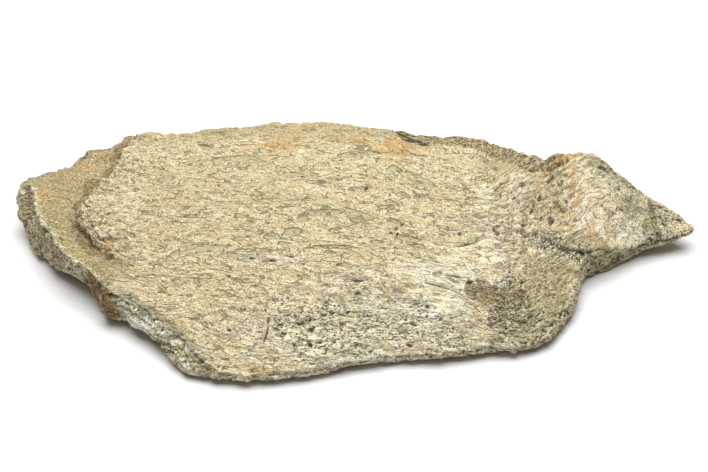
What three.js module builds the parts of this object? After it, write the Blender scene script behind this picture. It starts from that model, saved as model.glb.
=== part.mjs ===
// Triceratops frill section: one slab of fossil bone, lying on its flat side.
// Units are millimetres, +Z is up, X runs along the length (left end to
// right tip) and +Y points to the back edge. The broken slab is drawn as a
// row of cross-sections. Every line below is a list of [x, y, z] points that
// runs along the length and is crossed by each section.
import * as THREE from "three";

// ---- driving dimensions ----
const LEFT_END_X = -117.8;
const RIGHT_TIP_X = 117.2;
const SECTION_COUNT = 110;
const TOP_STEPS = 25;
const BACK_WALL_STEPS = 4;
const UNDERSIDE_STEPS = 9;
const FRONT_WALL_STEPS = 6;

const PLATE_STEP_HEIGHT = 5.0; // upper bone layer above the left ledge
const STEP_RUN = 3.6; // plan width of the broken step
const GROOVE_DEPTH = 2.6; // trough between the plate and the knob
const GROOVE_HALF_WIDTH = 9;
const UNDULATION = 0.3; // broad waviness of the upper face
const UNDERSIDE_HOLLOW_DEPTH = 2.6;

// ---- lines along the slab ----
// upper edge of the front, left-front and left faces
const FRONT_RIM = [
  [-118, 27.6, 13.0], [-115, 27.4, 16.4], [-112.3, 26.6, 18.8],
  [-110.9, 21.0, 18.8], [-108.6, 13.0, 18.3], [-102.4, 3.0, 17.3],
  [-96.0, -7.2, 16.3], [-89.2, -12.2, 15.6], [-84.7, -18.1, 14.8],
  [-80.0, -23.0, 14.3], [-73.2, -26.2, 13.8], [-63.4, -35.4, 12.3],
  [-56.7, -40.5, 11.3], [-53.6, -44.1, 10.0], [-47.7, -48.8, 7.2],
  [-42.8, -51.4, 5.4], [-33, -52.0, 5.0], [-20, -50.6, 5.0],
  [-8, -47.6, 5.0], [10, -43.0, 5.0], [28, -42.0, 5.0], [46, -38.6, 5.0],
  [58, -36.0, 5.0], [63, -31.6, 5.5], [68.3, -23.6, 6.5], [73.6, -12.4, 8.0],
  [77, -3.6, 10.5], [80, -0.8, 12.0], [85.7, 2.6, 10.8], [90, 6.0, 8.8],
  [96, 9.4, 6.8], [102, 11.4, 6.8], [110, 13.8, 7.2], [118, 16.6, 7.8],
];
// middle height of the same faces
const FRONT_MID = [
  [-118, 24.6, 10.0], [-115, 19.4, 8.0], [-112, 13.8, 6.5],
  [-107, 6.2, 7.0], [-101.3, -2.0, 7.5], [-93.5, -7.6, 8.0],
  [-88.9, -12.0, 7.5], [-85, -19.0, 5.5], [-82, -24.4, 4.0],
  [-76, -25.4, 4.5], [-72.4, -29.4, 5.0], [-64.2, -36.6, 4.8],
  [-60, -42.4, 4.0], [-55.3, -48.4, 3.0], [-48.1, -50.2, 2.8],
  [-39.3, -52.4, 2.6], [-26.7, -52.2, 2.6], [-17.4, -50.8, 2.6],
  [-8.4, -48.5, 2.6], [-1.3, -45.6, 2.6], [10, -43.8, 2.6],
  [34.6, -41.4, 2.6], [46.5, -39.2, 2.6], [54, -38.6, 2.6],
  [58.4, -37.4, 2.6], [62.7, -35.0, 2.8], [68.3, -27.8, 3.0],
  [73.6, -16.8, 3.2], [76.4, -8.4, 4.0], [78, -3.0, 5.0], [82, 0.4, 5.5],
  [86, 3.0, 5.5], [90, 5.6, 5.0], [96, 8.4, 4.2], [102, 10.8, 4.8],
  [110, 13.8, 5.4], [118, 16.6, 7.2],
];
// where the front faces turn under
const FRONT_FOOT = [
  [-118, 26.0, 8.0], [-114, 17.6, 3.4], [-110, 11.6, 1.6], [-101, 4.0, 1.2],
  [-93, -1.5, 1.6], [-86, -10.0, 1.2], [-80, -18.0, 0.6], [-72, -22.0, 0.8],
  [-64, -30.0, 0.6], [-58, -40.0, 0.2], [-50, -47.0, 0], [-39, -49.2, 0],
  [-18, -47.4, 0], [0, -42.4, 0], [20, -39.8, 0], [46, -35.8, 0],
  [57, -34.4, 0], [63, -31.6, 0], [68, -24.6, 0], [74, -13.4, 0],
  [77, -3.2, 0], [82, 0.4, 0.2], [88, 4.0, 0.8], [96, 9.4, 1.8],
  [104, 13.2, 3.0], [112, 15.6, 4.4], [118, 17.0, 6.6],
];
// where the upper face starts to roll down to the front
const HINGE = [
  [-118, 29.0, 14.0], [-112, 30.0, 23.6], [-104, 22, 23.4], [-94, 12, 22.6],
  [-84, 4, 21.6], [-72, -4, 20.6], [-50, -12, 19.8], [-20, -11, 19.8],
  [10, -9, 19.4], [30, -7, 18.2], [48, -5, 16.6], [60, 0, 15.0],
  [68, 6, 15.6], [76, 14, 18.6], [84, 17, 19.0], [90, 18.5, 16.8],
  [98, 19.4, 13.2], [108, 19.6, 10.6], [118, 16.9, 8.0],
];
// upper edge of the back face; right of x = 67 it is the crest of the knob
const BACK_RIM = [
  [-118, 30.8, 14.8], [-113.4, 32.6, 22.0], [-109.7, 36.4, 22.4],
  [-103.1, 39.8, 22.6], [-97.8, 42.4, 23.6], [-94, 47.2, 24.2],
  [-89.9, 47.6, 24.0], [-85.6, 48.6, 24.4], [-81.4, 52.0, 25.6],
  [-78, 52.6, 25.4], [-68.4, 49.8, 25.4], [-59.9, 49.8, 25.0],
  [-51.6, 52.0, 25.4], [-38.8, 52.0, 26.0], [-26.2, 54.9, 26.0],
  [-9.2, 54.9, 26.0], [3.5, 53.3, 25.0], [16.3, 52.7, 24.0],
  [20.5, 51.6, 23.2], [29, 51.2, 22.2], [37.6, 52.4, 21.5],
  [46.1, 51.3, 21.0], [50.2, 48.5, 20.6], [58.6, 46.0, 19.4],
  [66.4, 42.8, 18.6], [70.4, 39.0, 24.0], [75.3, 36.2, 26.8],
  [82.1, 35.0, 26.8], [86.1, 32.6, 25.4], [90.1, 31.4, 22.4],
  [94.3, 30.4, 19.4], [98.4, 29.0, 16.4], [102.7, 27.6, 13.9],
  [106.9, 26.2, 11.9], [111.2, 23.2, 10.2], [115.4, 19.2, 8.8],
  [118, 17.1, 8.2],
];
// middle height of the back face
const BACK_MID = [
  [-118, 31.0, 10.0], [-110, 38.0, 10.0], [-96, 46.0, 12.0],
  [-80, 53.0, 12.0], [-55, 52.0, 12.0], [-26, 56.4, 12.0], [0, 55.0, 12.0],
  [28, 53.0, 11.0], [48, 50.6, 10.0], [62, 47.0, 9.5], [75, 42.5, 12.0],
  [86, 38.0, 11.0], [96, 32.0, 9.0], [108, 26.0, 7.6], [118, 17.4, 7.6],
];
// where the back face turns under
const BACK_FOOT = [
  [-118, 30.0, 8.4], [-112, 32.0, 4.6], [-98, 39.0, 2.4], [-80, 46.0, 1.2],
  [-55, 46.0, 0.4], [-26, 50.0, 0], [0, 49.0, 0], [28, 47.0, 0],
  [48, 44.0, 0], [62, 41.0, 0], [75, 37.0, 0.6], [86, 32.0, 1.6],
  [96, 27.0, 2.6], [108, 21.6, 4.0], [118, 17.2, 6.8],
];

// foot of the broken step, from the back edge round to the front, [x, y]
const STEP_FOOT = [
  [-76, 60], [-77.3, 50.4], [-80.6, 43.2], [-81.9, 38], [-84.2, 30.3],
  [-87.4, 27.3], [-92.7, 16.6], [-93, 11.6], [-92.1, 6.5], [-89.7, 3.3],
  [-88.2, -1.3], [-84.6, -4.3], [-79.5, -9], [-76.6, -12], [-73.9, -12.5],
  [-70.5, -12.5],
];
// how much of the step is left, along the same list from 0 to 1
const STEP_STRENGTH = [[0, 0.55], [0.22, 1], [0.6, 1], [0.8, 0.55], [1, 0]];
// bottom of the trough between plate and knob, [x, y]
const GROOVE = [[50, 38], [50.4, 32], [51.4, 24], [53.5, 18.5], [57.6, 10], [59.4, 0]];
// shallow sunken areas of the upper face: x, y, half-length, half-width, depth
const HOLLOWS = [
  [40, 14, 13, 8, 1.3],
  [68, 3, 9, 7, 1.6],
  [50, -20, 10, 7, 1.5],
  [20, 47, 6, 4, 1.0],
];
// hollows in the underside
const UNDERSIDE_HOLLOWS = [
  [-62, 26, 26, 13],
  [22, 24, 30, 12],
  [-30, -22, 22, 9],
  [88, 18, 10, 7],
];

// ---- helpers ----
// value of column c of a line at station x, by a smooth monotone curve
function alongLine(line, x, c) {
  const last = line.length - 1;
  let i = 0;
  while (i < last - 1 && x > line[i + 1][0]) i += 1;
  const slope = (k) => (line[k + 1][c] - line[k][c]) / (line[k + 1][0] - line[k][0]);
  const tangent = (k) => {
    if (k === 0) return slope(0);
    if (k === last) return slope(last - 1);
    const before = slope(k - 1);
    const after = slope(k);
    return before * after <= 0 ? 0 : (2 * before * after) / (before + after);
  };
  const run = line[i + 1][0] - line[i][0];
  const t = THREE.MathUtils.clamp((x - line[i][0]) / run, 0, 1);
  const t2 = t * t;
  const t3 = t2 * t;
  return line[i][c] * (2 * t3 - 3 * t2 + 1) + line[i + 1][c] * (3 * t2 - 2 * t3)
    + run * (tangent(i) * (t3 - 2 * t2 + t) + tangent(i + 1) * (t3 - t2));
}

function pointOn(line, x) {
  return { y: alongLine(line, x, 1), z: alongLine(line, x, 2) };
}

// parabola through three points of a section, met at u = 0, 0.5 and 1
function throughThree(a, b, c, u) {
  const wa = 2 * (u - 0.5) * (u - 1);
  const wb = 4 * u * (1 - u);
  const wc = 2 * u * (u - 0.5);
  return { y: a.y * wa + b.y * wb + c.y * wc, z: a.z * wa + b.z * wb + c.z * wc };
}

// nearest point on an [x, y] path: distance, side (+1 is the right-hand side
// when walking the list backwards) and place along it from 0 to 1
function nearPath(path, x, y) {
  let best = { distance: Infinity, side: 1, place: 0 };
  for (let i = 0; i < path.length - 1; i += 1) {
    const dx = path[i + 1][0] - path[i][0];
    const dy = path[i + 1][1] - path[i][1];
    const px = x - path[i][0];
    const py = y - path[i][1];
    const t = THREE.MathUtils.clamp((px * dx + py * dy) / (dx * dx + dy * dy), 0, 1);
    const distance = Math.hypot(px - t * dx, py - t * dy);
    if (distance < best.distance) {
      const side = dx * py - dy * px >= 0 ? 1 : -1;
      best = { distance, side, place: (i + t) / (path.length - 1) };
    }
  }
  return best;
}

function ramp(list, t) {
  let i = 0;
  while (i < list.length - 2 && t > list[i + 1][0]) i += 1;
  const u = THREE.MathUtils.clamp((t - list[i][0]) / (list[i + 1][0] - list[i][0]), 0, 1);
  return list[i][1] + u * (list[i + 1][1] - list[i][1]);
}

function bowl(x, y, [cx, cy, halfLength, halfWidth]) {
  const r = Math.hypot((x - cx) / halfLength, (y - cy) / halfWidth);
  return r >= 1 ? 0 : (1 - r * r) ** 2;
}

// ---- landforms of the upper face ----
// height lost on the ledge, left of the broken step
function ledgeDrop(x, y) {
  if (x > -60) return 0;
  const near = nearPath(STEP_FOOT, x, y);
  const strength = ramp(STEP_STRENGTH, near.place);
  const across = THREE.MathUtils.smoothstep(near.side * near.distance, -0.6, STEP_RUN);
  return PLATE_STEP_HEIGHT * strength * (1 - across);
}

function grooveDrop(x, y) {
  const near = nearPath(GROOVE, x, y);
  const shape = THREE.MathUtils.clamp(1 - near.distance / GROOVE_HALF_WIDTH, 0, 1);
  return GROOVE_DEPTH * shape * shape * (3 - 2 * shape);
}

function undulation(x, y) {
  const bend = 2.2 * Math.sin(0.045 * x + 0.07 * y);
  return UNDULATION * (Math.sin(0.083 * x + 0.19 * y + bend)
    + 0.7 * Math.sin(0.15 * x - 0.11 * y + 1.7 * bend + 2)
    + 0.5 * Math.sin(0.06 * x + 0.37 * y - bend));
}

function topHeight(x, y, rim, hinge, back) {
  // straight-sided chain rim - hinge - back, rounded into one curve
  const u = THREE.MathUtils.clamp((y - rim.y) / Math.max(back.y - rim.y, 0.01), 0, 1);
  const h = THREE.MathUtils.clamp((hinge.y - rim.y) / Math.max(back.y - rim.y, 0.01), 0.15, 0.85);
  const bend = (hinge.z - rim.z * (1 - h) - back.z * h) / (h * (1 - h));
  let z = rim.z * (1 - u) + back.z * u + bend * u * (1 - u);
  const inland = THREE.MathUtils.smoothstep(Math.min(u, 1 - u), 0, 0.08);
  z -= grooveDrop(x, y);
  for (const hollow of HOLLOWS) z -= hollow[4] * bowl(x, y, hollow);
  return z + undulation(x, y) * inland;
}

// ---- one closed section, front rim first, going back over the top ----
function section(x) {
  const rim = pointOn(FRONT_RIM, x);
  const hinge = pointOn(HINGE, x);
  const back = pointOn(BACK_RIM, x);
  const frontMid = pointOn(FRONT_MID, x);
  const frontFoot = pointOn(FRONT_FOOT, x);
  const backMid = pointOn(BACK_MID, x);
  const backFoot = pointOn(BACK_FOOT, x);
  const endFade = THREE.MathUtils.smoothstep(x, -118, -110);
  rim.z += ledgeDrop(x, rim.y) * endFade;
  const points = [];
  for (let k = 0; k <= TOP_STEPS; k += 1) {
    const y = rim.y + ((back.y - rim.y) * k) / TOP_STEPS;
    const z = topHeight(x, y, rim, hinge, back) - ledgeDrop(x, y) * endFade;
    points.push(new THREE.Vector3(x, y, z));
  }
  const backTop = points[points.length - 1];
  for (let k = 1; k < BACK_WALL_STEPS; k += 1) {
    const p = throughThree(backTop, backMid, backFoot, k / BACK_WALL_STEPS);
    points.push(new THREE.Vector3(x, p.y, p.z));
  }
  for (let k = 0; k <= UNDERSIDE_STEPS; k += 1) {
    const u = k / UNDERSIDE_STEPS;
    const y = backFoot.y + (frontFoot.y - backFoot.y) * u;
    const skirt = backFoot.z * (1 - u) ** 3 + frontFoot.z * u ** 3;
    let hollow = 0;
    for (const dip of UNDERSIDE_HOLLOWS) hollow += bowl(x, y, dip);
    const endRise = 0.9 * Math.min(backFoot.z, frontFoot.z);
    points.push(new THREE.Vector3(x, y, Math.max(skirt, endRise) + UNDERSIDE_HOLLOW_DEPTH * hollow));
  }
  const frontTop = points[0];
  for (let k = 1; k < FRONT_WALL_STEPS; k += 1) {
    const p = throughThree(frontFoot, frontMid, frontTop, k / FRONT_WALL_STEPS);
    points.push(new THREE.Vector3(x, p.y, p.z));
  }
  return points;
}

// ---- skin the sections ----
function frillSectionGeometry() {
  const rings = [];
  for (let i = 0; i < SECTION_COUNT; i += 1) {
    const t = i / (SECTION_COUNT - 1);
    rings.push(section(LEFT_END_X + (RIGHT_TIP_X - LEFT_END_X) * t));
  }
  const ringSize = rings[0].length;
  const positions = [];
  for (const ring of rings) for (const p of ring) positions.push(p.x, p.y, p.z);
  const faces = [];
  for (let i = 0; i < SECTION_COUNT - 1; i += 1) {
    for (let k = 0; k < ringSize; k += 1) {
      const next = (k + 1) % ringSize;
      const a = i * ringSize + k;
      const b = i * ringSize + next;
      const c = (i + 1) * ringSize + next;
      const d = (i + 1) * ringSize + k;
      // split each four-sided patch along its shorter diagonal
      const pa = rings[i][k];
      const pb = rings[i][next];
      const pc = rings[i + 1][next];
      const pd = rings[i + 1][k];
      if (pa.distanceTo(pc) <= pb.distanceTo(pd)) faces.push(a, c, b, a, d, c);
      else faces.push(a, d, b, b, d, c);
    }
  }
  for (const [ringIndex, leftEnd] of [[0, true], [SECTION_COUNT - 1, false]]) {
    const centre = new THREE.Vector3();
    for (const p of rings[ringIndex]) centre.add(p);
    centre.divideScalar(ringSize);
    const hub = positions.length / 3;
    positions.push(centre.x, centre.y, centre.z);
    for (let k = 0; k < ringSize; k += 1) {
      const a = ringIndex * ringSize + k;
      const b = ringIndex * ringSize + ((k + 1) % ringSize);
      if (leftEnd) faces.push(hub, a, b);
      else faces.push(hub, b, a);
    }
  }
  const geometry = new THREE.BufferGeometry();
  geometry.setAttribute("position", new THREE.Float32BufferAttribute(positions, 3));
  geometry.setIndex(faces);
  // the origin sits under the middle of the bounding box, at the resting plane
  geometry.computeBoundingBox();
  const box = geometry.boundingBox;
  geometry.translate(-(box.min.x + box.max.x) / 2, -(box.min.y + box.max.y) / 2, -box.min.z);
  geometry.computeVertexNormals();
  return geometry;
}

const fossilBone = new THREE.MeshStandardMaterial({ color: 0xcdbb93, roughness: 0.85, metalness: 0 });
const frillSection = new THREE.Mesh(frillSectionGeometry(), fossilBone);
frillSection.name = "frill_section";

const part = new THREE.Group();
part.add(frillSection);

export default part;
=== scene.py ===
"""Looks for the triceratops frill section: one slab of fossil bone on a pale floor.

Lengths in the modelling code are millimetres in the slab's own frame: X along
the length towards the pointed tip, Y towards the back edge, Z up.
"""

import math

import bmesh
import bpy
import numpy as np
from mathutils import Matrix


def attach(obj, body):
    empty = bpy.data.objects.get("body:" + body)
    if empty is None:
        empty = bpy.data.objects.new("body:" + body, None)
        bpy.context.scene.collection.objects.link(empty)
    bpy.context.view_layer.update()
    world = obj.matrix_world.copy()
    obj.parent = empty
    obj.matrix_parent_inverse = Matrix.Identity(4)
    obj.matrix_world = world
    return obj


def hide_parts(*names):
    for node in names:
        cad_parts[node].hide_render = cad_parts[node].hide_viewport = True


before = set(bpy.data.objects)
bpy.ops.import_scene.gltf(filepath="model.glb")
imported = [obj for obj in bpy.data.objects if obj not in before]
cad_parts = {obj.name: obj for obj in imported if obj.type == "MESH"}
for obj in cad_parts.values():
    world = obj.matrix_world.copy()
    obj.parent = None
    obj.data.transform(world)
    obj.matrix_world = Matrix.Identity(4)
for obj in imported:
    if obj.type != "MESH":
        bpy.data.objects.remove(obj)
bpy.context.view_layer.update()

MM = 0.001
SEED = 20117
WELD = 2e-6  # metres within which CAD corners are one
VOXEL = 0.42  # mesh fineness before thinning
TRIANGLE_LIMIT = 190000

# ---- the slab
# upper edge of the front and left faces, [x, y]
RIM_LINE = [
    (-117.7, 25.6), (-114.7, 25.4), (-112, 24.6), (-110.6, 19), (-108.3, 11), (-102.1, 1), (-95.7, -9.2),
    (-88.9, -14.2), (-84.4, -20.1), (-79.7, -25), (-72.9, -28.2), (-63.1, -37.4), (-56.4, -42.5),
    (-53.3, -46.1), (-47.4, -50.8), (-42.5, -53.4), (-32.7, -54), (-19.7, -52.6), (-7.7, -49.6),
    (10.3, -45), (28.3, -44), (46.3, -40.6), (58.3, -38), (63.3, -33.6), (68.6, -25.6), (73.9, -14.4),
    (77.3, -5.6), (80.3, -2.8), (86, 0.6), (90.3, 4), (96.3, 7.4), (102.3, 9.4), (110.3, 11.8),
    (118.3, 14.6),
]
# upper edge of the back face, [x, y]
BACK_LINE = [
    (-117.7, 28.8), (-113.1, 30.6), (-109.4, 34.4), (-102.8, 37.8), (-97.5, 40.4), (-93.7, 45.2),
    (-85.3, 46.6), (-81.1, 50), (-68.1, 47.8), (-51.3, 50), (-26, 52.9), (-9, 52.9), (3.8, 51.3),
    (20.8, 49.6), (37.9, 50.4), (50.5, 46.5), (66.7, 40.8), (75.6, 34.2), (82.4, 33), (90.4, 29.4),
    (98.7, 27), (107.2, 24.2), (115.7, 17.2),
]
# foot of the broken step between the left ledge and the main plate
STEP_LINE = [
    (-76, 58), (-77.3, 48.4), (-80.6, 41.2), (-81.9, 36), (-84.2, 28.3), (-87.4, 25.3), (-92.7, 14.6),
    (-93, 9.6), (-92.1, 4.5), (-89.7, 1.3), (-88.2, -3.3), (-84.6, -6.3), (-79.5, -11), (-76.6, -14),
    (-73.9, -14.5), (-70.5, -14.5),
]
STEP_STRENGTH = [0.5, 0.7, 1, 1, 1, 1, 1, 1, 1, 1, 1, 0.9, 0.7, 0.5, 0.3, 0]
STEP_HEIGHT = 4.6
STEP_BAYS = [(8, 1.8), (21, -1.4)]  # y, how far the step's edge lies back or forward
# the step from its foot up: distance in from the edge, share of the height
STEP_TREADS = [(-0.2, 0.5), (1.8, 0.12), (3.6, 0.12), (6, 0.1), (8.5, 0.08), (12, 0.08)]
# height of the front rim along the length: x, z
RIM_HEIGHTS = [(-90, 15.5), (-64, 12.5), (-45, 6.5), (58, 6), (78, 11)]

# creases of the knob: line, height, width
KNOB_RIDGES = [
    ([(77.2, 32), (76.5, 20.8), (75.4, 13.6), (76.7, 5.9), (77.9, 1.3)], 0.8, 3),
    ([(81, 35), (85.1, 30.8), (89.2, 26.1), (94, 22.7), (100.4, 21.9)], 0.9, 3),
    ([(100.4, 22.6), (101.4, 16.3), (102.9, 9.6)], 1.2, 2.4),
    ([(102.5, 20), (103.2, 14.5), (105, 10)], -1, 2.5),
    ([(71, 28), (68.6, 19), (69.5, 10), (72, 4)], -0.7, 3),
    ([(53.5, 31), (52.1, 26.6), (51.7, 19.7), (48.9, 8.6), (48.3, 3.6)], -1.1, 1.5),
    ([(59.5, 19), (58.7, 15.7), (58.8, 10.6), (57.8, 3.5)], -1.1, 1.4),
    ([(48.3, 3.6), (48.7, -2.4), (50.9, -6.8), (52.7, -10.3)], -0.8, 1.3),
    ([(57, 36.5), (62, 34.8), (66.8, 34.2), (71.5, 31.4)], -0.7, 1.4),
    ([(80.5, 33), (86.5, 29.5), (92.5, 26.8), (99, 25)], -0.7, 1.6),
]
# overhanging lower lip of the knob
LIP_LINE = [
    (62.5, 5.5), (65.5, 2.6), (69.7, 0.2), (74.6, -1.6), (80.4, -1.2), (86.2, 1.1), (92.7, 5.3),
    (98.2, 8.2), (103, 9.9), (109, 11),
]

# direction of the bone fibres on the upper face: x, y, degrees from +X
FLOW = [
    (-71, 37, -5), (-43, 31, -5), (-19, 35, 0), (2, 33, 5), (23, 23, -20), (33, 34, -30), (-66, 16, 0),
    (-52, 10, -5), (-32, 11, -5), (-11, 10, -5), (9, 9, 0), (29, 13, 10), (36, 7, 35), (42, -3, 25),
    (-68, -2, 0), (-54, -10, 20), (-43, -9, 0), (-31, -10, 0), (-8, -9, 5), (15, -6, 0), (32, -10, 10),
    (49, -8, 10), (-77, -16, -20), (-66, -29, -25), (-49, -44, -40), (-56, -34, -25), (-40, -50, -15),
    (-34, -30, -20), (-21, -20, -20), (-17, -36, -15), (-1, -28, -15), (15, -24, -15), (28, -22, -15),
    (22, -37, -20), (41, -39, -15), (41, -26, -15), (55, -13, 30), (62, -19, 30), (66, -28, 50),
    (-8, -48, 5), (-27, -53, 0), (15, -43, 0), (66, 18, 75), (72, 16, 70), (84, 16, 10), (84, 4, 15),
    (95, 21, -30), (106, 15, -10), (113, 15, -10), (55, 19, 70), (53, 4, 65), (61, 29, 60),
    (-101, 18, -25),
]

# sediment-filled channels: x, y, half length, half width, degrees
CHANNELS = [
    (-40.7, 31.2, 8.7, 1.5, -5), (1.5, 33.1, 7.7, 1.6, 8), (13.8, 26.2, 2.3, 1.2, 5),
    (21.7, 22, 7.2, 2.4, -20), (-48.6, -10, 8, 1.6, 4), (-59.7, -13.2, 2.9, 1.6, 40),
    (-37.8, -6.2, 2.7, 0.9, 10), (-27.5, -5.6, 2.9, 1.3, 0), (-20.9, -4.4, 4, 2, 25),
    (-17, 2.4, 2.2, 1.5, 5), (-10, 4.6, 7.1, 1.3, 0), (1.4, 3.8, 5.6, 2.6, -20), (10.9, 8.2, 3, 1, 0),
    (-6.3, -2.1, 2.5, 0.7, 5), (-7.9, -9.4, 8.6, 0.8, 3), (-8.2, -11.4, 3.1, 0.6, 5),
    (18.1, -5.1, 4.4, 1.3, 0), (21.4, -8, 2.3, 1.2, -5), (-62.9, 11.2, 2.2, 1, 0),
    (-59.6, 13.2, 2.7, 0.8, 70), (-74.2, 16.2, 1, 0.8, 0), (-74, -3.5, 1.7, 0.6, -30),
    (-16.3, -20.4, 2, 0.7, 0), (-14.1, -48.1, 2.6, 0.8, -15), (27.5, -18, 1.7, 0.8, 5),
    (47.9, -12.5, 2.2, 1.1, 10), (-32.7, -11.2, 6.6, 0.8, 0), (-23.5, -8.4, 2.3, 0.6, 0),
]

# open pores, holes and cracks: x, y, half length, half width, degrees
PORES = [
    (4.2, 16.4, 1, 1, 0), (-28.7, 0.1, 0.6, 0.6, 0), (-41, -20.7, 0.6, 0.6, 0), (-40.3, -39.7, 1, 0.6, 0),
    (12.4, -3, 0.8, 0.6, 0), (14.1, -1.3, 1.1, 0.7, 40), (16.2, 0.6, 1.2, 0.7, 45),
    (14.4, -3.7, 0.6, 0.6, 5), (35.6, -1.1, 1, 0.8, 5), (47.9, 1.8, 1.4, 2.2, 10),
    (-95.4, 15.8, 0.7, 0.7, 0), (-27.8, -36.2, 0.7, 1.2, 0), (-28.3, -40.9, 4.1, 0.5, 75),
    (-23.9, -37.4, 1.5, 0.6, -10), (-25.1, -39.1, 1.6, 0.7, -20), (-22.5, -40.4, 1.1, 0.7, 5),
    (-17.7, -36.8, 2.6, 0.5, 0), (-14.2, -35.4, 0.6, 0.6, 0), (-13.8, -38.5, 1.6, 0.7, 20),
    (-14.1, -43.6, 1.2, 1, 90), (-10.9, -42.6, 1.4, 0.5, 5), (-8.9, -45.8, 0.6, 0.5, 5),
    (-9.7, -33.7, 1.5, 0.6, 30), (-7.1, -32.9, 1.2, 0.7, 15), (-9, -30.2, 1.2, 0.5, -5),
    (-1.9, -32.4, 1.2, 0.5, 5), (1.4, -25.9, 1.2, 0.6, -15), (-3.8, -36.4, 1.2, 0.6, 5),
    (19.3, -35, 1.6, 0.8, 0), (17.9, -41.8, 1.4, 0.7, 0), (23.9, -29.3, 1, 0.6, 0),
    (1.7, -21.7, 2.8, 0.5, 0), (-5.5, -16, 0.8, 0.7, 0), (-33.6, -14.3, 1.2, 0.6, 0),
    (-27, -15, 1.8, 0.6, 0), (-20.7, -13.4, 1.2, 0.6, 0), (38.6, -4.4, 7.1, 0.45, 25),
    (26.1, -21.6, 4.6, 0.45, -15), (33.1, -18.2, 4.1, 0.4, -5), (38, -20, 1.2, 0.6, 5),
    (49, 34.4, 1.4, 0.6, 5), (62.3, 34.3, 1.5, 0.9, 10), (63.7, 19.7, 1.8, 0.8, 75),
    (66.8, 9.1, 2.6, 1.2, 80), (86, 28, 2.2, 0.9, -35), (58.5, 26.5, 1.4, 0.7, 60),
    (60.5, 14.5, 1.4, 0.7, 75), (57.5, 8.5, 1.5, 0.7, 75), (55, 20, 1.6, 0.6, 70),
    (71.5, 24, 1.4, 0.6, 75), (72.5, 15, 1.2, 0.6, 75), (106, 21.5, 1.4, 0.7, -25),
    (112.5, 17.5, 1.5, 0.6, -25), (107, 15.2, 1.6, 0.6, -30), (101.8, 9.8, 1, 0.7, 10),
    (17.5, 47.5, 4, 1.1, -25), (21.5, 45, 3, 1.3, -30), (24.5, 42.8, 2, 1.2, -20),
    (19, 44.5, 2, 0.7, -20), (70, 32.5, 1.2, 0.8, 20), (67.8, 28.4, 1.8, 1.1, 75),
    (-52.2, 40.5, 3.2, 0.7, -15),
]

CHANNEL_DEPTH = 0.35
PORE_DEPTH = 0.8
# small scattered marks: count, gap, range of half length, range of width over length,
# spread of direction in degrees, range of depth
SMALL_CHANNELS = (100, 4, (0.8, 2.6), (0.22, 0.42), 10, (0.08, 0.2))
SMALL_PORES = (420, 1.6, (0.35, 0.85), (0.35, 0.7), 30, (0.25, 0.6))
SIDE_HOLES = (170, 1.9, (0.4, 1.1), (0.3, 0.6), 20, (0.25, 0.6))
UNDER_HOLES = (260, 2.5, (0.4, 1.1), (0.3, 0.6), 20, (0.25, 0.6))

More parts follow.
